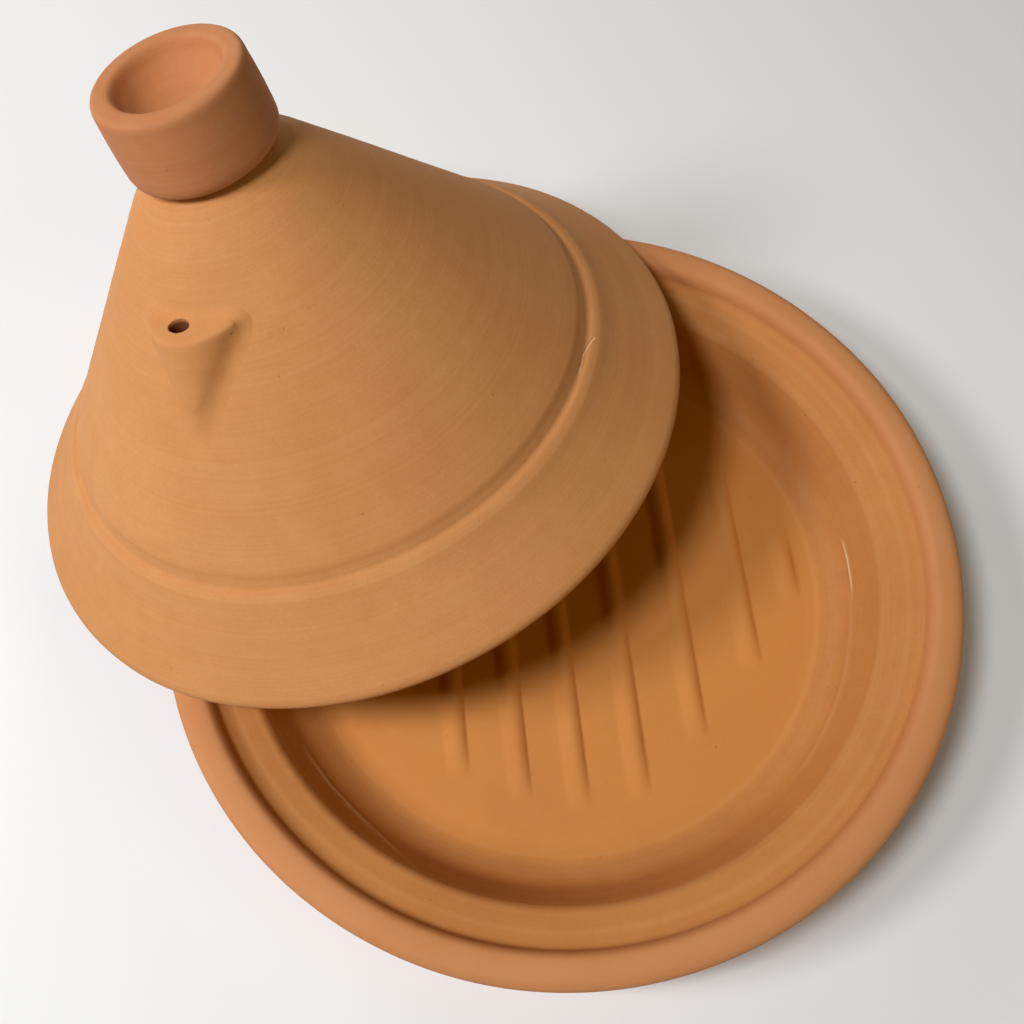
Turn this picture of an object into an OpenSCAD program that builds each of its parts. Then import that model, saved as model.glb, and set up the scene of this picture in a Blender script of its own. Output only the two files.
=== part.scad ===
// Clay tagine: a wide shallow dish with a rolled lip and ribbed floor, and a tall conical lid
// with a cupped knob and a small steam vent. The lid is off its seat: it leans on the dish's
// lip with its far edge on the table. Millimetres, +Z up, table at z = 0.

/* [Dish] */
// Outer radius at the widest part of the rolled lip
dish_r = 165; // [120:1:200]
// Height of the widest part of the lip above the table
lip_z = 45; // [35:0.5:70]
// Width of the rolled lip
lip_w = 15.1; // [10:0.1:22]
// Rise of the lip's crest above its widest part
lip_rise = 4; // [2:0.5:8]
// Drop from the lip's widest part to the foot of the inner step
step_drop = 4.2; // [0.5:0.1:5]
// Width of the ledge that the lid sits on when the pot is closed
ledge_w = 14.9; // [8:0.1:22]
// Drop of the ledge from the step to its inner edge
ledge_drop = 5.1; // [0:0.1:12]
// Radius of the floor inside the dish
floor_r = 112.6; // [80:0.1:140]
// Height of the floor above the table
floor_z = 7; // [4:0.1:14]
// Radius of the flat foot
foot_r = 119; // [80:1:140]

/* [Ribs on the floor] */
// Height of a rib above the floor
rib_h = 2.2; // [1:0.1:5]
// Half of a rib's width at the floor
rib_half_w = 5; // [2:0.1:10]
// Direction of the ribs, from +X
rib_turn = 92; // [0:1:180]

/* [Lid] */
// Radius of the centre line of the rounded rim
rim_r = 142.4; // [100:0.1:160]
// Radius of the rounded rim's section
rim_round = 3.6; // [2:0.1:6]
// Thickness of the lid's wall
lid_wall = 8.5; // [5:0.1:12]
// Height of the shoulder ridge above the rim
shoulder_h = 31.9; // [20:0.1:50]
// Height of the flat top that carries the knob
lid_top_h = 141.5; // [100:0.5:200]
// Radius of the cone at that flat top
lid_top_r = 22.6; // [12:0.1:40]

/* [Knob] */
// Greatest radius of the knob
knob_r = 28.3; // [20:0.1:45]
// Height of the knob
knob_h = 31.2; // [20:0.5:60]
// Radius of the cup in the knob's top
cup_r = 19.9; // [10:0.1:35]
// Depth of that cup below the knob's lip
cup_depth = 12.5; // [4:0.5:25]

/* [Steam vent] */
// Radius of the vent hole
vent_r = 3.7; // [1.5:0.1:6]
// Distance of the vent hole from the lid's axis
vent_out = 54.6; // [40:0.5:80]
// Height of the vent boss's level top above the rim
vent_h = 110.4; // [80:0.1:130]
// Direction of the vent around the lid, from the side that touches the table
vent_turn = 116.5; // [0:0.5:360]
// Direction of the middle of the boss around the vent
boss_turn = 119; // [0:0.5:360]
// Half of the angle at which the boss widens from its tip
boss_spread = 26.1; // [12:0.1:40]
// Lean of the boss's axis towards the lid's axis
boss_lean = 50; // [35:0.5:60]

/* [How the lid leans] */
// Distance of the lid's centre from the dish's centre
lean_out = 119; // [100:0.5:160]
// Direction in which the lid lies off the dish, from +X
lean_side = 136.1; // [0:0.1:360]
// Direction towards which the lid's axis leans, from +X
lean_turn = 132.6; // [0:0.1:360]
// Lean of the lid's axis from upright
lean = 16.7; // [0:0.05:40]
// Height of the rim's centre above the table
lean_z = 44.55; // [30:0.05:80]

/* [Hidden] */
clay = [0.78, 0.48, 0.28];
lid_clay = [0.82, 0.54, 0.33];
$fn = 96;

crest_z = lip_z + lip_rise;
step_r = dish_r - lip_w;
step_z = lip_z - step_drop;
ledge_r = step_r - ledge_w;
ledge_z = step_z - ledge_drop;

// Across the floor: where each rib lies, and where its near and far ends are. They were
// pressed by hand, so they are not quite evenly spaced.
ribs = [
  [-95, -22, 22],
  [-73, -40, 50],
  [-51, -77, 79],
  [-26, -89, 90],
  [-2, -95, 94],
  [23.5, -93, 92],
  [51, -72, 86],
  [79.5, -44, 54],
  [102, -16, 20],
];
rib_round = (rib_half_w * rib_half_w + rib_h * rib_h) / (2 * rib_h);

// Points along a curve that leaves a towards b and arrives at c from b.
function bend(a, b, c, n) =
  [for (i = [0:n]) let (t = i / n) (1 - t) * (1 - t) * a + 2 * t * (1 - t) * b + t * t * c];

// Points along a circle's arc.
function arc(x, y, r, from, to, n) =
  [for (i = [0:n]) let (t = from + (to - from) * i / n) [x + r * cos(t), y + r * sin(t)]];

dish_profile = concat(
  [[0, 0], [foot_r - 3, 0]],
  bend([foot_r - 3, 0], [foot_r + 0.5, 0], [foot_r + 2.6, 3], 5),
  bend([foot_r + 21, 28.5], [foot_r + 25.5, 34], [foot_r + 33, 35.5], 6),
  bend([foot_r + 36, 36.2], [dish_r, 37], [dish_r, lip_z - 0.6], 10),
  bend([dish_r, lip_z - 0.4], [dish_r - 0.1, crest_z - 0.5], [dish_r - 5, crest_z - 0.25], 8),
  bend([dish_r - 5.4, crest_z - 0.2], [dish_r - 8, crest_z + 0.1], [dish_r - 10.6, crest_z - 0.2], 6),
  bend([step_r + 4.2, crest_z - 0.4], [step_r + 1.6, crest_z - 1], [step_r + 0.6, step_z + 2.2], 8),
  bend([step_r + 0.3, step_z + 1.2], [step_r - 0.2, step_z], [step_r - 1.8, step_z - 0.5], 5),
  bend([ledge_r + 1.8, ledge_z + 0.75], [ledge_r + 0.2, ledge_z + 0.1], [ledge_r - 0.7, ledge_z - 1.7], 6),
  bend([floor_r + 15.7, floor_z + 13.5], [floor_r + 11, floor_z + 1.6], [floor_r - 3, floor_z], 12),
  [[0, floor_z]]
);

// The cone's side runs straight from its foot, just above the shoulder, to the knob.
cone_foot = [109.8, 38];
cone_head = [35.3, 128.7];
cone_run = (cone_head - cone_foot) / norm(cone_head - cone_foot);
cone_out = [cone_run[1], -cone_run[0]];
skirt_low = [134.5, 12.2];
skirt_high = [121.8, 24.8];
skirt_run = (skirt_high - skirt_low) / norm(skirt_high - skirt_low);
skirt_out = [skirt_run[1], -skirt_run[0]];

lid_outside = concat(
  arc(rim_r, 0.4, rim_round, -125, 48, 18),
  [skirt_low],
  bend([122.4, 24.2], [118, shoulder_h - 0.4], [114.2, shoulder_h], 10),
  bend([113.2, shoulder_h], [110.9, shoulder_h + 1], [cone_foot[0], cone_foot[1]], 8),
  bend(cone_head, [25.4, 138.6], [lid_top_r, lid_top_h], 6)
);

lid_inside = concat(
  [[0, 128]],
  bend([18, 128], cone_head - lid_wall * cone_out + cone_run * 7, cone_head - lid_wall * cone_out, 8),
  bend(cone_foot - lid_wall * cone_out, [106.4, 28.2], skirt_high - lid_wall * skirt_out, 6),
  [skirt_low - lid_wall * skirt_out]
);

knob_top = lid_top_h + knob_h;
knob_profile = concat(
  [[0, lid_top_h]],
  bend([lid_top_r + 0.6, lid_top_h], [knob_r - 0.2, lid_top_h + 0.4], [knob_r - 0.1, lid_top_h + 5.5], 8),
  bend([knob_r, lid_top_h + 9], [knob_r - 0.2, lid_top_h + 20], [knob_r - 0.8, lid_top_h + 26], 6),
  bend([knob_r - 0.9, lid_top_h + 28.2], [knob_r - 1.1, knob_top], [knob_r - 3.4, knob_top], 8),
  bend([cup_r + 1.7, knob_top], [cup_r + 0.2, knob_top - 0.1], [cup_r - 0.5, knob_top - 1.6], 6),
  bend([cup_r - 0.7, knob_top - 2], [cup_r - 4.4, knob_top - cup_depth], [0, knob_top - cup_depth], 12)
);

// Places the lid and what is fixed to it.
module leaning() {
  translate([lean_out * cos(lean_side), lean_out * sin(lean_side), lean_z])
    rotate([0, 0, lean_turn])
      rotate([0, lean, 0])
        children();
}

module rib(across, low, high) {
  translate([low, -across, floor_z + rib_h - rib_round])
    rotate([0, 90, 0])
      cylinder(r = rib_round, h = high - low);
  translate([low, -across, floor_z + rib_h - rib_round])
    sphere(r = rib_round);
  translate([high, -across, floor_z + rib_h - rib_round])
    sphere(r = rib_round);
}

module dish() {
  color(clay) {
    rotate_extrude() polygon(dish_profile);
    intersection() {
      rotate([0, 0, rib_turn])
        for (r = ribs) rib(r[0], r[1], r[2]);
      translate([0, 0, 1])
        cylinder(r = floor_r - 3, h = floor_z + rib_h);
    }
  }
}

module cone_body() {
  rotate_extrude() polygon(concat([[0, lid_top_h]], [for (i = [len(lid_outside) - 1:-1:0]) lid_outside[i]],
                                  [[0, -2.6]]));
}

module vent_hole() {
  rotate([0, 0, vent_turn])
    translate([vent_out, 0, vent_h - 50])
      cylinder(r = vent_r, h = 60);
}

module lid_cone() {
  color(lid_clay)
    leaning()
      difference() {
        rotate_extrude() polygon(concat(lid_outside, [[0, lid_top_h]], lid_inside));
        vent_hole();
      }
}

module lid_knob() {
  color(lid_clay)
    leaning()
      rotate_extrude() polygon(knob_profile);
}

// A half cone that widens upwards along the lid's side and ends in a level top.
module vent_boss() {
  color(lid_clay)
    leaning()
      difference() {
        rotate([0, 0, boss_turn])
          intersection() {
            translate([76.64, 0, 77.8])
              rotate([0, -boss_lean, 0])
                cylinder(r1 = 1, r2 = 1 + 50 * tan(boss_spread), h = 50);
            translate([60, 0, vent_h - 60])
              cylinder(r = 60, h = 60);
          }
        cone_body();
        vent_hole();
      }
}

dish();
lid_cone();
lid_knob();
vent_boss();
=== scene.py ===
from math import cos, pi, radians, sin, tan

import bpy
import numpy as np
from mathutils import Matrix, Vector


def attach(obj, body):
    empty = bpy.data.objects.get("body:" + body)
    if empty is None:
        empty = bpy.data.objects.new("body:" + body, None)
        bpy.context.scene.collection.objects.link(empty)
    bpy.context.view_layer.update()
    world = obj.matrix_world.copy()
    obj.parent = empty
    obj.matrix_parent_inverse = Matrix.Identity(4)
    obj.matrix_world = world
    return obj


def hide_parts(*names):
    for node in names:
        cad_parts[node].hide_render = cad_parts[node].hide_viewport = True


print("tagine: loading the frame")
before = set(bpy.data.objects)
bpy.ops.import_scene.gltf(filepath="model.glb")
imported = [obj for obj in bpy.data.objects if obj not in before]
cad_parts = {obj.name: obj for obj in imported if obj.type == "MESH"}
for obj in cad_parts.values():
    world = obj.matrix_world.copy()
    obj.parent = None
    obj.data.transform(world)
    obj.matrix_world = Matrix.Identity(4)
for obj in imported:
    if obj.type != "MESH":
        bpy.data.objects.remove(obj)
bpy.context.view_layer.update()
mm = 0.001


# curves for the profiles, in millimetres: how far from the axis, how high
def bend(start, pull, end, steps):
    points = []
    for i in range(steps + 1):
        t = i / steps
        points.append(tuple((1 - t) ** 2 * a + 2 * t * (1 - t) * b + t * t * c for a, b, c in zip(start, pull, end)))
    return points


def oval(middle, out, up, first, last, steps):
    turns = [radians(first + (last - first) * i / steps) for i in range(steps + 1)]
    return [(middle[0] + out * cos(t), middle[1] + up * sin(t)) for t in turns]


def evenSteps(points, spacing, softness, finer=None):
    # the same curve in even steps, with its corners rubbed down as a wet sponge does
    points = np.array(points, float)
    lengths = np.linalg.norm(np.diff(points, axis=0), axis=1)
    keep = np.concatenate([[True], lengths > 1e-6])
    points = points[keep]
    along = np.concatenate([[0], np.cumsum(np.linalg.norm(np.diff(points, axis=0), axis=1))])
    places = [0.0]
    while places[-1] < along[-1] - 0.2 * spacing:
        out, up = (np.interp(places[-1], along, points[:, k]) for k in (0, 1))
        close = finer and finer["out"][0] < out < finer["out"][1] and finer["up"][0] < up < finer["up"][1]
        places.append(places[-1] + (finer["spacing"] if close else spacing))
    places[-1] = along[-1]
    even = np.stack([np.interp(places, along, points[:, k]) for k in (0, 1)], axis=1)
    for _ in range(softness):
        even[1:-1] = 0.25 * even[:-2] + 0.5 * even[1:-1] + 0.25 * even[2:]
    return even


def throwingMarks(profile, depth, seed):
    # shallow rings that the potter's fingers leave as the clay turns
    steps = np.linalg.norm(np.diff(profile, axis=0), axis=1)
    along = np.concatenate([[0], np.cumsum(steps)])
    wave = np.zeros(len(along))
    for k, (length, share) in enumerate(((13.0, 0.42), (7.3, 0.3), (4.1, 0.2), (2.6, 0.14))):
        wave += share * np.sin(2 * pi * along / length + seed * (k + 1.7) + 1.3 * np.sin(along / (9.1 + 3 * k)))
    run = np.gradient(profile, axis=0)
    run /= np.maximum(np.linalg.norm(run, axis=1)[:, None], 1e-9)
    away = np.stack([run[:, 1], -run[:, 0]], axis=1)
    fade = np.clip(np.minimum(profile[:, 0] / 12, 1), 0, 1)
    return profile + away * (wave * depth * fade)[:, None]


def deselectAll():
    if bpy.context.object and bpy.context.object.mode != "OBJECT":
        bpy.ops.object.mode_set(mode="OBJECT")
    bpy.ops.object.select_all(action="DESELECT")


def pickOut(piece, rule):
    # selects the points whose places pass the rule, which sees x, y and z in millimetres
    bpy.ops.object.mode_set(mode="OBJECT")
    mesh = piece.data
    places = np.empty(len(mesh.vertices) * 3)
    mesh.vertices.foreach_get("co", places)
    x, y, z = places.reshape(-1, 3).T / mm
    mesh.polygons.foreach_set("select", np.zeros(len(mesh.polygons), bool))
    mesh.edges.foreach_set("select", np.zeros(len(mesh.edges), bool))
    mesh.vertices.foreach_set("select", np.asarray(rule(x, y, z), bool))
    bpy.ops.object.mode_set(mode="EDIT")
    bpy.ops.mesh.select_mode(type="VERT")


def applyModifier(piece, kind, **settings):
    modifier = piece.modifiers.new(kind.title(), kind)
    for key, value in settings.items():
        setattr(modifier, key, value)
    deselectAll()
    bpy.context.view_layer.objects.active = piece
    piece.select_set(True)
    bpy.ops.object.modifier_apply(modifier=modifier.name)


def throwOnWheel(name, profile, turns):
    # one point is drawn out along the profile, then spun round the wheel's axis
    deselectAll()
    bpy.ops.mesh.primitive_plane_add(size=0.002, location=(profile[0][0] * mm, 0, profile[0][1] * mm))
    piece = bpy.context.object
    piece.name = name
    piece.data.name = name
    bpy.ops.object.transform_apply(location=True, rotation=False, scale=False)
    bpy.ops.object.mode_set(mode="EDIT")
    bpy.ops.mesh.select_all(action="SELECT")
    bpy.ops.mesh.merge(type="CENTER")
    for before, after in zip(profile, profile[1:]):
        move = ((after[0] - before[0]) * mm, 0, (after[1] - before[1]) * mm)
        bpy.ops.mesh.extrude_region_move(TRANSFORM_OT_translate={"value": move})
    bpy.ops.mesh.select_all(action="SELECT")
    bpy.ops.mesh.spin(steps=turns, angle=2 * pi, center=(0, 0, 0), axis=(0, 0, 1))
    bpy.ops.mesh.select_all(action="SELECT")
    bpy.ops.mesh.remove_doubles(threshold=0.00002)
    bpy.ops.mesh.normals_make_consistent(inside=False)
    bpy.ops.object.mode_set(mode="OBJECT")
    bpy.ops.object.shade_smooth()
    return piece


def handWobble(piece, reach, amount):
    # nothing thrown by hand is quite round
    clouds = bpy.data.textures.new("handWobble", "CLOUDS")
    clouds.noise_scale = reach
    clouds.noise_depth = 1
    applyModifier(piece, "DISPLACE", texture=clouds, texture_coords="LOCAL", strength=amount, mid_level=0.5)


def place(piece, matrix):
    deselectAll()
    piece.matrix_world = matrix
    piece.select_set(True)
    bpy.context.view_layer.objects.active = piece
    bpy.ops.object.transform_apply(location=True, rotation=True, scale=True)


# ---- how the lid leans: its own axis, from the middle of its rim
lidLean = {"out": 119, "side": 136.1, "turn": 132.6, "tilt": 16.7, "height": 44.55}
lidMiddle = Vector((
    lidLean["out"] * cos(radians(lidLean["side"])) * mm,
    lidLean["out"] * sin(radians(lidLean["side"])) * mm,
    lidLean["height"] * mm,
))
lidTurned = Matrix.Rotation(radians(lidLean["turn"]), 4, "Z") @ Matrix.Rotation(radians(lidLean["tilt"]), 4, "Y")
onLid = Matrix.Translation(lidMiddle) @ lidTurned


# ---- the dish
print("tagine: throwing the dish")
dishShape = {
    "lipOut": 165, "lipHeight": 45, "lipWidth": 15.1, "lipRise": 4,
    "stepDrop": 4.2, "ledgeWidth": 14.9, "ledgeDrop": 5.1,
    "floorOut": 112.6, "floorHeight": 7, "footOut": 119,
    "turns": 320, "spacing": 1.7, "marks": 0.05,
    "finer": {"out": (131, 155), "up": (30, 50), "spacing": 0.7},
}
floorRibs = {
    # how far across the floor each rib lies, and where its two ends are
    "lines": (
        (-95, -22, 22), (-73, -40, 50), (-51, -77, 79), (-26, -89, 90), (-2, -95, 94),
        (23.5, -93, 92), (51, -72, 86), (79.5, -44, 54), (102, -16, 20),
    ),
    # one flank was pressed steeper than the other
    "direction": 92, "height": 2.2, "gentleSide": 6.0, "steepSide": 4.2, "taper": 24, "steps": 22,
}


def dishProfile(s):
    lipOut, lipHeight, crest = s["lipOut"], s["lipHeight"], s["lipHeight"] + s["lipRise"]
    stepOut, stepHeight = lipOut - s["lipWidth"], lipHeight - s["stepDrop"]
    ledgeOut, ledgeHeight = stepOut - s["ledgeWidth"], stepHeight - s["ledgeDrop"]
    floorOut, floorHeight, foot = s["floorOut"], s["floorHeight"], s["footOut"]
    points = [(0, 0), (foot - 3, 0)]
    points += bend((foot - 3, 0), (foot + 0.5, 0), (foot + 2.6, 3), 5)
    points += bend((foot + 21, 28.5), (foot + 25.5, 34), (foot + 33, 35.5), 6)
    # the lip is nearly flat on top, with a rounded outer edge
    points += bend((foot + 36, 36.2), (lipOut, 37), (lipOut, lipHeight - 0.6), 10)
    points += bend((lipOut, lipHeight - 0.4), (lipOut - 0.1, crest - 0.5), (lipOut - 5, crest - 0.25), 8)
    points += bend((lipOut - 5.4, crest - 0.2), (lipOut - 8, crest + 0.1), (lipOut - 10.6, crest - 0.2), 6)
    points += bend((stepOut + 4.2, crest - 0.4), (stepOut + 1.6, crest - 1.0), (stepOut + 0.6, stepHeight + 2.2), 8)
    points += bend((stepOut + 0.3, stepHeight + 1.2), (stepOut - 0.2, stepHeight), (stepOut - 1.8, stepHeight - 0.5), 5)
    # below the ledge the wall drops steeply, then sweeps into the floor
    points += bend((ledgeOut + 1.8, ledgeHeight + 0.75), (ledgeOut + 0.2, ledgeHeight + 0.1), (ledgeOut - 0.7, ledgeHeight - 1.7), 6)
    points += bend((floorOut + 15.7, floorHeight + 13.5), (floorOut + 11, floorHeight + 1.6), (floorOut - 3, floorHeight), 12)
    points += [(0, floorHeight)]
    return points


profile = evenSteps(dishProfile(dishShape), dishShape["spacing"], 1, dishShape["finer"])
profile = throwingMarks(profile, dishShape["marks"], 2.0)
profile[0, 0] = profile[-1, 0] = 0
profile[profile[:, 1] < 0.3, 1] = 0
dish = throwOnWheel("clayDish", profile, dishShape["turns"])

print("tagine: pressing the ribs")
ribTurn = radians(floorRibs["direction"])


def ribHeight(x, y):
    # how far the ribs stand above the floor, fading towards their ends
    along = x * cos(ribTurn) + y * sin(ribTurn)
    across = x * sin(ribTurn) - y * cos(ribTurn)
    tallest = np.zeros(len(x))
    for line, low, high in floorRibs["lines"]:
        side = across - line
        reach = np.where(side > 0, floorRibs["steepSide"], floorRibs["gentleSide"])
        flank = np.clip(1 - (side / reach) ** 2, 0, 1) ** np.where(side > 0, 0.85, 1.5)
        toEnd = np.clip(np.minimum(along - low, high - along) / floorRibs["taper"], 0, 1)
        tallest = np.maximum(tallest, flank * (1 - (1 - toEnd) ** 2))
    return tallest * floorRibs["height"]


def onFloor(x, y, z):
    return (z > dishShape["floorHeight"] - 1.5) & (np.hypot(x, y) < dishShape["floorOut"] + 4) & (z < 16)


pickOut(dish, lambda x, y, z: onFloor(x, y, z) & (ribHeight(x * 1.0, y) + ribHeight(x - 1.6, y) + ribHeight(x + 1.6, y) > 0) & (np.hypot(x, y) > 36))
bpy.ops.mesh.subdivide(number_cuts=2)
pickOut(dish, lambda x, y, z: onFloor(x, y, z) & (ribHeight(x, y) > 0) & (np.hypot(x, y) > 14) & (np.hypot(x, y) <= 36))
bpy.ops.mesh.subdivide(number_cuts=1)
# the clay is raised a little at a time, each time on a narrower strip
lift = floorRibs["height"] / floorRibs["steps"]
for i in range(floorRibs["steps"]):
    pickOut(dish, lambda x, y, z: onFloor(x, y, z) & (ribHeight(x, y) > (i + 0.5) * lift))
    bpy.ops.transform.translate(value=(0, 0, lift * mm))
pickOut(dish, lambda x, y, z: onFloor(x, y, z) & (ribHeight(x, y) + ribHeight(x + 1.5, y) > 0))
bpy.ops.mesh.vertices_smooth(factor=0.5, repeat=3)
deselectAll()
handWobble(dish, 0.11, 0.0007)
# the foot stands flat on the table
pickOut(dish, lambda x, y, z: z < 0.5)
bpy.ops.transform.resize(value=(1, 1, 0), center_override=(0, 0, 0))
deselectAll()


# ---- the lid
print("tagine: throwing the lid")
lidShape = {
    "rimOut": 142.4, "rimHeight": 0.4, "rimRound": 3.6, "wall": 8.5, "shoulder": 31.9,
    "skirtLow": (134.5, 12.2), "skirtHigh": (121.8, 24.8),
    "coneFoot": (109.8, 38), "coneHead": (35.3, 128.7), "topOut": 22.6, "topHeight": 141.5,
    "turns": 300, "spacing": 1.6, "marks": 0.05,
    "finer": {"out": (107, 119), "up": (28.5, 41), "spacing": 0.5},
}


def insideOf(start, end, wall):
    run = (Vector(end) - Vector(start)).normalized()
    inward = Vector((-run.y, run.x)) * wall
    return tuple(Vector(start) + inward), tuple(Vector(end) + inward)


def lidProfile(s):
    shoulder, foot, head = s["shoulder"], s["coneFoot"], s["coneHead"]
    outside = [(0, s["topHeight"])]
    outside += bend((s["topOut"], s["topHeight"]), (25.4, 138.6), head, 6)
    # the cone meets a soft rounded bead, which rolls over into the skirt
    outside += bend(foot, (111.0, shoulder + 3.0), (112.2, shoulder + 0.9), 6)
    outside += bend((112.6, shoulder + 0.4), (113.2, shoulder), (114.0, shoulder + 0.05), 4)
    outside += bend((114.4, shoulder + 0.05), (117.4, shoulder - 0.6), (121.0, 25.6), 12)
    outside += [s["skirtLow"]]
    outside += oval((s["rimOut"], s["rimHeight"]), s["rimRound"], s["rimRound"], 48, -125, 18)
    innerLow, innerHigh = insideOf(s["skirtLow"], s["skirtHigh"], s["wall"])
    innerFoot, innerHead = insideOf(foot, head, s["wall"])
    up = (Vector(head) - Vector(foot)).normalized()
    inside = [innerLow]
    inside += bend(innerHigh, (106.4, 28.2), innerFoot, 6)
    inside += bend(innerHead, tuple(Vector(innerHead) + up * 7), (18, 128), 8)
    inside += [(0, 128)]
    return outside + inside


profile = evenSteps(lidProfile(lidShape), lidShape["spacing"], 1, lidShape["finer"])
profile = throwingMarks(profile, lidShape["marks"], 0.6)
profile[0, 0] = profile[-1, 0] = 0
lidCone = throwOnWheel("clayLidCone", profile, lidShape["turns"])

print("tagine: turning the knob")
knobShape = {
    "out": 28.3, "height": 31.2, "seat": 141.5, "seatOut": 23.2, "cupOut": 19.9, "cupDepth": 12.5,
    "turns": 180, "spacing": 0.7,
}


def knobProfile(s):
    seat, out, top = s["seat"], s["out"], s["seat"] + s["height"]
    cup = s["cupOut"]
    points = [(0, seat)]
    points += bend((s["seatOut"], seat), (out - 0.2, seat + 0.4), (out - 0.1, seat + 5.5), 8)
    points += bend((out, seat + 9), (out - 0.2, seat + 20), (out - 0.8, seat + 26), 6)
    points += bend((out - 0.9, seat + 28.2), (out - 1.1, top), (out - 3.4, top), 8)
    points += bend((cup + 1.7, top), (cup + 0.2, top - 0.1), (cup - 0.5, top - 1.6), 6)
    points += bend((cup - 0.7, top - 2), (cup - 4.4, top - s["cupDepth"]), (0, top - s["cupDepth"]), 12)
    return points


profile = evenSteps(knobProfile(knobShape), knobShape["spacing"], 1)
profile = throwingMarks(profile, 0.03, 4.0)
profile[0, 0] = profile[-1, 0] = 0
knob = throwOnWheel("clayKnob", profile, knobShape["turns"])

print("tagine: luting on the vent boss")
bossShape = {
    "tipOut": 76.64, "tipHeight": 77.8, "lean": 50, "spread": 26.1, "tipRound": 1.0, "length": 50,
    "level": 111.1, "turn": 118.5, "grain": 0.75, "sink": 0.02, "rubbed": 12, "fillet": 60,
    "hole": (3.1, 4.3), "holeOut": 54.4, "holeTurn": 116.3,
}
bossTurn = Matrix.Rotation(radians(bossShape["turn"]), 4, "Z")

deselectAll()
axis = Vector((-sin(radians(bossShape["lean"])), 0, cos(radians(bossShape["lean"]))))
middle = Vector((bossShape["tipOut"], 0, bossShape["tipHeight"])) + axis * bossShape["length"] / 2
topRound = bossShape["tipRound"] + bossShape["length"] * tan(radians(bossShape["spread"]))
bpy.ops.mesh.primitive_cone_add(
    vertices=96, radius1=bossShape["tipRound"] * mm, radius2=topRound * mm, depth=bossShape["length"] * mm,
    location=middle * mm, rotation=(0, radians(-bossShape["lean"]), 0),
)
boss = bpy.context.object
boss.name = boss.data.name = "clayVentBoss"
bpy.ops.object.transform_apply(location=True, rotation=True, scale=True)
bpy.ops.object.mode_set(mode="EDIT")
bpy.ops.mesh.select_all(action="SELECT")
bpy.ops.mesh.bisect(plane_co=(0, 0, bossShape["level"] * mm), plane_no=(0, 0, 1), clear_outer=True, use_fill=True)
deselectAll()

# a thin pad of clay, cut from the lid's own shape, spreads the boss out on the cone
padProfile = [(20, 138), (lidShape["coneHead"][0] - bossShape["sink"], lidShape["coneHead"][1] - bossShape["sink"])]
padProfile += [(lidShape["coneFoot"][0] - bossShape["sink"], lidShape["coneFoot"][1] - bossShape["sink"])]
padInner = insideOf(padProfile[2], padProfile[1], 3.0)
padProfile = [padProfile[1], padProfile[2], padInner[0], padInner[1], padProfile[1]]
pad = throwOnWheel("ventPad", padProfile, 180)
deselectAll()
bpy.ops.mesh.primitive_uv_sphere_add(segments=64, ring_count=32, radius=32 * mm, location=(62 * mm, 0, 97 * mm))
padCutter = bpy.context.object
bpy.ops.object.transform_apply(location=True, rotation=True, scale=True)
applyModifier(pad, "BOOLEAN", operation="INTERSECT", object=padCutter, solver="EXACT")
bpy.data.objects.remove(padCutter)
applyModifier(boss, "BOOLEAN", operation="UNION", object=pad, solver="EXACT")
bpy.data.objects.remove(pad)
applyModifier(boss, "REMESH", mode="VOXEL", voxel_size=bossShape["grain"] * mm)
pickOut(boss, lambda x, y, z: x > -1e9)
bpy.ops.mesh.vertices_smooth(factor=0.5, repeat=bossShape["rubbed"])


def besideBoss(x, y, z):
    # the corner where the boss meets the cone: less than a few millimetres outside the cone's side
    foot, head = lidShape["coneFoot"], lidShape["coneHead"]
    slope = (foot[0] - head[0]) / (head[1] - foot[1])
    proud = (np.hypot(x, y) - foot[0] + (z - foot[1]) * slope) / np.hypot(1, slope)
    return (proud > -1.2) & (proud < 3.2)


# a wet finger has filled that corner
pickOut(boss, besideBoss)
bpy.ops.mesh.vertices_smooth(factor=0.5, repeat=bossShape["fillet"])
deselectAll()
boss.select_set(True)
bpy.context.view_layer.objects.active = boss
bpy.ops.object.shade_smooth()
place(boss, bossTurn)

# the steam hole goes down through the boss and the cone's wall
deselectAll()
holeMiddle = Matrix.Rotation(radians(bossShape["holeTurn"]), 4, "Z") @ Vector((bossShape["holeOut"], 0, bossShape["level"] - 25))
bpy.ops.mesh.primitive_cylinder_add(
    vertices=64, radius=mm, depth=70 * mm, location=holeMiddle * mm, rotation=(0, 0, radians(bossShape["holeTurn"])),
)
ventDrill = bpy.context.object
ventDrill.scale = (*bossShape["hole"], 1)
bpy.ops.object.transform_apply(location=True, rotation=True, scale=True)
for piece in (boss, lidCone):
    applyModifier(piece, "BOOLEAN", operation="DIFFERENCE", object=ventDrill, solver="EXACT")
bpy.data.objects.remove(ventDrill)

for piece in (lidCone, knob, boss):
    handWobble(piece, 0.09, 0.0007)
    place(piece, onLid)


# ---- clay
print("tagine: mixing the clay")


def wire(nodes, links, kind, inputs=None, **settings):
    node = nodes.new(kind)
    for key, value in settings.items():
        setattr(node, key, value)
    for socket, value in (inputs or {}).items():
        if isinstance(value, bpy.types.NodeSocket):
            links.new(value, node.inputs[socket])
        else:
            node.inputs[socket].default_value = value
    return node


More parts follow.
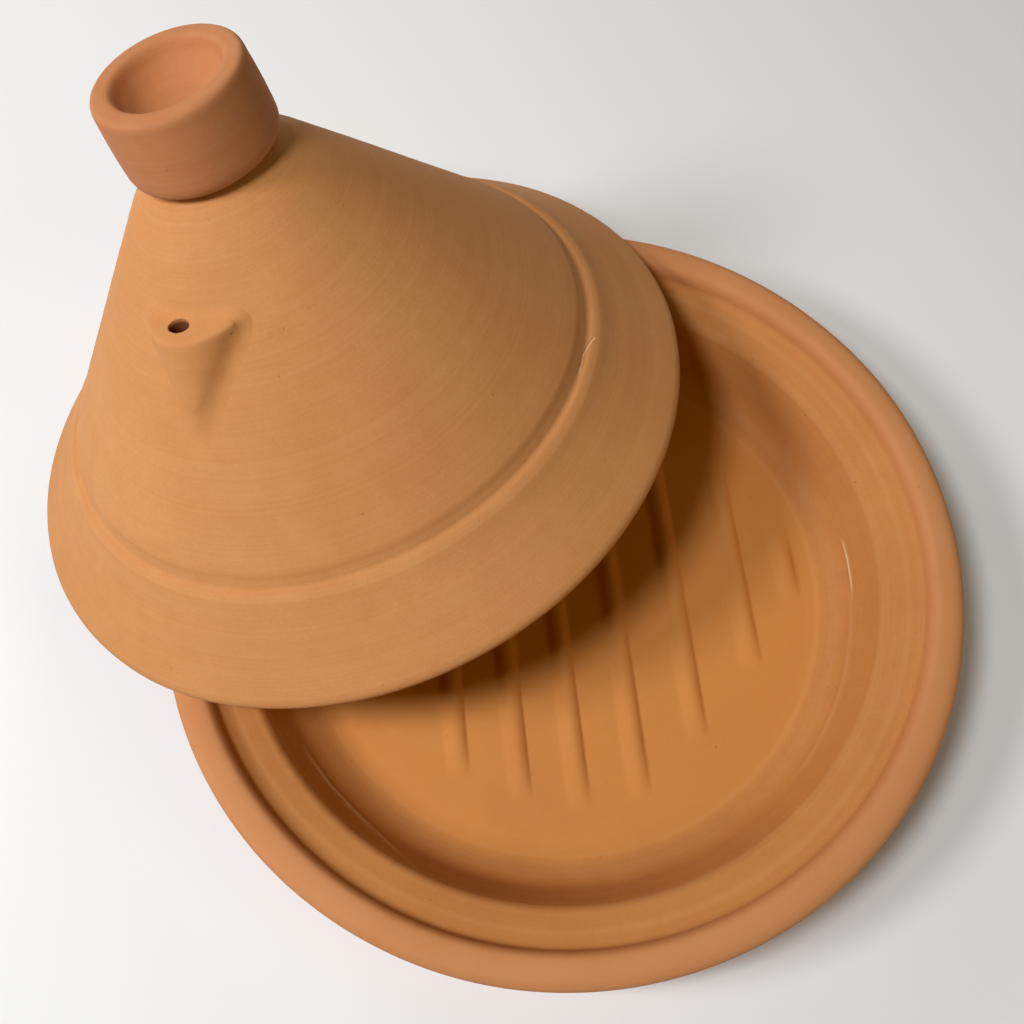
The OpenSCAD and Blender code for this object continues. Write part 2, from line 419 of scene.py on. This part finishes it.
def terracotta(name, s, middle, turned):
    clay = bpy.data.materials.new(name)
    clay.use_nodes = True
    nodes, links = clay.node_tree.nodes, clay.node_tree.links
    nodes.clear()

    def new(kind, inputs=None, **settings):
        return wire(nodes, links, kind, inputs, **settings)

    def math(operation, first, second=0.0):
        return new("ShaderNodeMath", {0: first, 1: second}, operation=operation).outputs[0]

    def noise(where, scale, detail, roughness=0.5):
        return new("ShaderNodeTexNoise", {"Vector": where, "Scale": scale, "Detail": detail, "Roughness": roughness}).outputs["Fac"]

    def rings(where, scale, detail):
        return new("ShaderNodeTexNoise", {"W": where, "Scale": scale, "Detail": detail}, noise_dimensions="1D").outputs["Fac"]

    def ramp(value, low, high, first, last, kind="SMOOTHSTEP"):
        limits = {"Value": value, "From Min": low, "From Max": high, "To Min": first, "To Max": last}
        return new("ShaderNodeMapRange", limits, interpolation_type=kind).outputs[0]

    def blend(share, first, second):
        return new("ShaderNodeMix", {0: share, 6: first, 7: second}, data_type="RGBA").outputs[2]

    # the pattern's own axis runs up the middle of the piece
    where = new("ShaderNodeTexCoord").outputs["Object"]
    centred = new("ShaderNodeVectorMath", {0: where, 1: middle}, operation="SUBTRACT").outputs[0]
    upright = new("ShaderNodeVectorRotate", {"Vector": centred, "Rotation": turned}, rotation_type="EULER_XYZ", invert=True).outputs[0]
    x, y, z = new("ShaderNodeSeparateXYZ", {0: upright}).outputs
    out = math("SQRT", math("ADD", math("MULTIPLY", x, x), math("MULTIPLY", y, y)))
    turn = math("ARCTAN2", y, x)

    patches = noise(upright, 14.0, 5.0, 0.62)
    mottle = noise(upright, 95.0, 6.0, 0.7)
    grain = noise(upright, 900.0, 4.0, 0.75)
    # rings follow the wheel: they depend on how far out and how high a point is
    ring = math("ADD", math("MULTIPLY", out, s["ringOut"]), math("MULTIPLY", z, s["ringUp"]))
    ring = math("ADD", ring, math("MULTIPLY", noise(upright, 9.0, 2.0), 0.003))
    fineRings = rings(ring, s["fineRings"], 3.0)
    broadRings = rings(ring, s["broadRings"], 2.0)

    colour = blend(ramp(patches, 0.3, 0.7, 0, 1), (*s["deep"], 1), (*s["pale"], 1))
    colour = blend(ramp(mottle, 0.25, 0.75, 0.0, s["mottle"]), colour, (*s["warm"], 1))
    colour = blend(ramp(fineRings, 0.35, 0.65, 0.0, s["ringTint"]), colour, (*s["dusty"], 1))
    colour = blend(ramp(broadRings, 0.4, 0.7, 0.0, s["bandTint"]), colour, (*s["dusty"], 1))
    colour = blend(ramp(grain, 0.35, 0.75, 0.0, s["grainTint"]), colour, (*s["speck"], 1))
    for band in s["bands"]:
        # a ring of a slightly different colour, such as the lip, or a pale ring of painted highlight along an edge
        share = math("MULTIPLY", ramp(out, band["from"] * mm, (band["from"] + band["fade"]) * mm, 0, 1), ramp(out, (band["to"] - band["fade"]) * mm, band["to"] * mm, 1, 0))
        share = math("MULTIPLY", share, ramp(patches, 0.25, 0.6, 0.6 * band["share"], band["share"]))
        colour = blend(share, colour, (*band["colour"], 1))

    pits = new("ShaderNodeTexVoronoi", {"Vector": upright, "Scale": 230.0, "Randomness": 1.0}).outputs["Distance"]
    speck = math("MULTIPLY", ramp(pits, 0.08, 0.16, 1, 0), ramp(noise(upright, 160.0, 1.0), 0.66, 0.7, 0, 1))
    colour = blend(math("MULTIPLY", speck, 0.45), colour, (*s["speck"], 1))

    if s["holeShade"]:
        # painted shade inside the steam hole: its wall is darkened as though in shadow
        fromHole = new("ShaderNodeVectorMath", {0: new("ShaderNodeCombineXYZ", {0: x, 1: y}).outputs[0], 1: (s["holeShade"]["x"] * mm, s["holeShade"]["y"] * mm, 0)}, operation="DISTANCE").outputs["Value"]
        holeShadeShare = math("MULTIPLY", ramp(fromHole, s["holeShade"]["to"] * mm, s["holeShade"]["from"] * mm, 1, 0), ramp(z, (s["holeShade"]["below"] - 1.2) * mm, s["holeShade"]["below"] * mm, 1, 0))
        colour = blend(math("MULTIPLY", holeShadeShare, s["holeShade"]["share"]), colour, (*s["holeShade"]["colour"], 1))

    height = math("MULTIPLY", fineRings, s["fineDepth"])
    height = math("ADD", height, math("MULTIPLY", broadRings, s["broadDepth"]))
    height = math("ADD", height, math("MULTIPLY", grain, s["grainDepth"]))
    height = math("ADD", height, math("MULTIPLY", mottle, s["mottleDepth"]))
    height = math("ADD", height, math("MULTIPLY", speck, -0.0001))
    for crease in s["creases"]:
        # a crease left in the clay, chalky where it dried proud
        first, last = radians(crease["from"]), radians(crease["to"])
        drift = ramp(turn, radians(crease["turnsAt"]), last, 0, 1, "LINEAR")
        line = math("ADD", math("MULTIPLY", math("MULTIPLY", drift, drift), (crease["outEnd"] - crease["out"]) * mm), crease["out"] * mm)
        line = math("ADD", line, math("MULTIPLY", math("SUBTRACT", mottle, 0.5), crease["jag"] * mm))
        away = math("ABSOLUTE", math("SUBTRACT", out, line))
        shown = math("MULTIPLY", ramp(turn, first, first + crease["fadeIn"], 0, 1), ramp(turn, last - crease["fadeOut"], last, 1, 0))
        shown = math("MULTIPLY", shown, ramp(math("SUBTRACT", z, math("MULTIPLY", out, s["side"][0])), s["side"][1] - 0.002, s["side"][1] + 0.002, 0, 1))
        mark = math("MULTIPLY", shown, ramp(away, 0, crease["width"] * mm, 1, 0))
        height = math("ADD", height, math("MULTIPLY", mark, crease["relief"] * mm))
        chalk = math("MULTIPLY", math("MULTIPLY", shown, ramp(away, 0, 0.6 * crease["width"] * mm, 1, 0)), ramp(mottle, 0.3, 0.55, 0.3 * crease["chalk"], crease["chalk"]))
        colour = blend(chalk, colour, (*s["chalk"], 1))

    relief = new("ShaderNodeBump", {"Height": height, "Strength": 1.0, "Distance": 1.0}).outputs[0]
    rough = ramp(mottle, 0.2, 0.8, s["rough"] - 0.06, s["rough"] + 0.06)
    body = new("ShaderNodeBsdfPrincipled", {"Base Color": colour, "Roughness": rough, "Normal": relief})
    body.inputs["Specular IOR Level"].default_value = s["specular"]
    new("ShaderNodeOutputMaterial", {"Surface": body.outputs[0]})
    return clay


def fromHex(code):
    channels = [int(code[i:i + 2], 16) / 255 for i in (0, 2, 4)]
    return tuple(c / 12.92 if c <= 0.04045 else ((c + 0.055) / 1.055) ** 2.4 for c in channels)


steamMiddle = Matrix.Rotation(radians(bossShape["holeTurn"]), 4, "Z") @ Vector((bossShape["holeOut"], 0, 0))
lidLooks = {
    "deep": fromHex("c78548"), "pale": fromHex("d09053"), "warm": fromHex("c68047"), "dusty": fromHex("d8a26f"),
    "speck": fromHex("9c6233"), "chalk": fromHex("ecc79a"),
    "mottle": 0.4, "ringTint": 0.12, "bandTint": 0.08, "grainTint": 0.16, "rough": 0.8, "specular": 0.4,
    "fineRings": 800.0, "broadRings": 130.0, "ringOut": 0.64, "ringUp": -0.77,
    "fineDepth": 0.00003, "broadDepth": 0.00012, "grainDepth": 0.00005, "mottleDepth": 0.00008,
    # painted shade: the steam hole's wall is darkened to look shadowed
    "holeShade": {
        "x": steamMiddle.x, "y": steamMiddle.y, "from": 5.2, "to": 4.6, "below": bossShape["level"] - 0.3,
        "colour": fromHex("6b3a22"), "share": 0.85,
    },
    "bands": (), "side": (0.0, 0.027),
    "creases": (
        {"from": -153, "to": -141.5, "turnsAt": -147.5, "out": 112.9, "outEnd": 116.4, "width": 0.85, "relief": -0.3,
         "chalk": 0.8, "jag": 2.6, "fadeIn": 0.06, "fadeOut": 0.015},
    ),
}
# the knob's clay is a shade darker and redder
knobLooks = dict(
    lidLooks, deep=fromHex("b87443"), pale=fromHex("c17f4c"), warm=fromHex("b76e42"), dusty=fromHex("c88f66"),
)
bossLooks = dict(lidLooks, ringTint=0.04, fineDepth=0.00001, broadDepth=0.00005)
dishLooks = dict(
    lidLooks, holeShade=None, deep=fromHex("c47d3f"), pale=fromHex("ce8846"), warm=fromHex("c1783e"), dusty=fromHex("d39a63"),
    ringOut=0.8, ringUp=0.6, ringTint=0.08, bandTint=0.08, side=(1.2, -0.138),
    bands=(
        {"from": -10, "to": 118, "fade": 5, "share": 0.85, "colour": fromHex("d58b43")},
        {"from": 149, "to": 175, "fade": 3, "share": 0.75, "colour": fromHex("cd8957")},
        # painted highlight: a faint pale ring where the floor meets the wall
        {"from": 112, "to": 115.6, "fade": 1.6, "share": 0.1, "colour": fromHex("e0ad78")},
        # painted highlight: a pale ring along the ledge's inner edge
        {"from": 133.8, "to": 135.8, "fade": 0.8, "share": 0.2, "colour": fromHex("d9a26c")},
        {"from": 143, "to": 146, "fade": 1.2, "share": 0.15, "colour": fromHex("d9a26c")},
    ),
    creases=(
        {"from": -153, "to": -117, "turnsAt": -138, "out": 128.0, "outEnd": 134.6, "width": 1.4, "relief": 0.18,
         "chalk": 0.6, "jag": 1.8, "fadeIn": 0.15, "fadeOut": 0.3},
        {"from": -9, "to": 5.6, "turnsAt": 5, "out": 126.9, "outEnd": 126.9, "width": 0.8, "relief": 0.3,
         "chalk": 0.9, "jag": 0.2, "fadeIn": 0.12, "fadeOut": 0.04},
        {"from": -56, "to": -4, "turnsAt": -5, "out": 126.3, "outEnd": 126.3, "width": 1.6, "relief": 0.25,
         "chalk": 0.12, "jag": 0.8, "fadeIn": 0.4, "fadeOut": 0.08},
    ),
)
lidClay, knobClay, bossClay = (
    terracotta(name, looks, tuple(lidMiddle), tuple(lidTurned.to_euler("XYZ")))
    for name, looks in (("lidTerracotta", lidLooks), ("knobTerracotta", knobLooks), ("bossTerracotta", bossLooks))
)
dishClay = terracotta("dishTerracotta", dishLooks, (0.0, 0.0, 0.0), (0.0, 0.0, 0.0))

for piece, clay, body, slot, node in (
    (dish, dishClay, "dish", "dish_clay", "dish"),
    (lidCone, lidClay, "lid", "lid_clay", "lid_cone"),
    (knob, knobClay, "lid", "lid_clay", "lid_knob"),
    (boss, bossClay, "lid", "lid_clay", "vent_boss"),
):
    piece.data.materials.clear()
    piece.data.materials.append(clay)
    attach(piece, body)
    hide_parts(node)
    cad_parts[node].data.materials.clear()
    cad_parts[node].data.materials.append(clay)
    print("tagine:", piece.name, "has", len(piece.data.polygons), "faces")


# ---- table, light and camera
print("tagine: setting up the studio")
studio = {
    "table": fromHex("efeeeb"), "sky": 0.03,
    "distance": 1.3, "aim": (-0.03, 0.03, 0.05),
    "lamps": (
        # a window up on the left in two panes, then the pale walls behind and beside
        {"name": "windowLow", "turn": 193, "up": 46, "size": 0.3, "power": 6.9, "colour": (0.975, 1, 1.05)},
        {"name": "windowHigh", "turn": 211, "up": 66, "size": 0.3, "power": 8.7, "colour": (0.975, 1, 1.05)},
        {"name": "backWallLeft", "turn": 135, "up": 18, "size": 0.55, "power": 3.5, "colour": (1, 0.97, 0.9)},
        {"name": "backWall", "turn": 90, "up": 18, "size": 0.55, "power": 2.6, "colour": (1, 0.94, 0.78)},
        {"name": "rightWall", "turn": 325, "up": 36, "size": 0.6, "power": 2.15, "colour": (1, 0.92, 0.72)},
    ),
}
deselectAll()
bpy.ops.mesh.primitive_plane_add(size=6, location=(0, 0, 0))
table = bpy.context.object
table.name = "table"
tablePaint = bpy.data.materials.new("tablePaint")
tablePaint.use_nodes = True
tableSurface = tablePaint.node_tree.nodes["Principled BSDF"]
tableSurface.inputs["Base Color"].default_value = (*studio["table"], 1)
tableSurface.inputs["Roughness"].default_value = 0.7
tableSurface.inputs["Specular IOR Level"].default_value = 0.15
table.data.materials.append(tablePaint)

for s in studio["lamps"]:
    lamp = bpy.data.lights.new(s["name"], "AREA")
    lamp.shape = "DISK"
    lamp.size = s["size"]
    lamp.energy = s["power"]
    lamp.color = s["colour"]
    holder = bpy.data.objects.new(s["name"], lamp)
    bpy.context.scene.collection.objects.link(holder)
    level = cos(radians(s["up"]))
    towards = Vector((cos(radians(s["turn"])) * level, sin(radians(s["turn"])) * level, sin(radians(s["up"]))))
    holder.location = Vector(studio["aim"]) + towards * studio["distance"]
    holder.rotation_euler = (-towards).to_track_quat("-Z", "Y").to_euler()

sky = bpy.data.worlds.new("paleRoom")
sky.use_nodes = True
sky.node_tree.nodes["Background"].inputs[0].default_value = (1, 1, 1, 1)
sky.node_tree.nodes["Background"].inputs[1].default_value = studio["sky"]
bpy.context.scene.world = sky
bpy.context.scene.view_settings.view_transform = "Standard"
# a camera's own contrast: shadows a touch deeper and richer
bpy.context.scene.view_settings.use_curve_mapping = True
bpy.context.scene.view_settings.curve_mapping.black_level = (0.005, 0.005, 0.005)
bpy.context.scene.view_settings.curve_mapping.update()

viewpoint = {"place": (-0.01805, -0.1655, 0.4938), "tip": 22.986, "roll": -4.468, "lens": 40.36}
lens = bpy.data.cameras.new("camera")
lens.lens = viewpoint["lens"]
lens.sensor_width = 36
lens.clip_start = 0.01
camera = bpy.data.objects.new("camera", lens)
bpy.context.scene.collection.objects.link(camera)
camera.matrix_world = (
    Matrix.Translation(viewpoint["place"])
    @ Matrix.Rotation(radians(viewpoint["tip"]), 4, "X")
    @ Matrix.Rotation(radians(viewpoint["roll"]), 4, "Z")
)
bpy.context.scene.camera = camera

deselectAll()
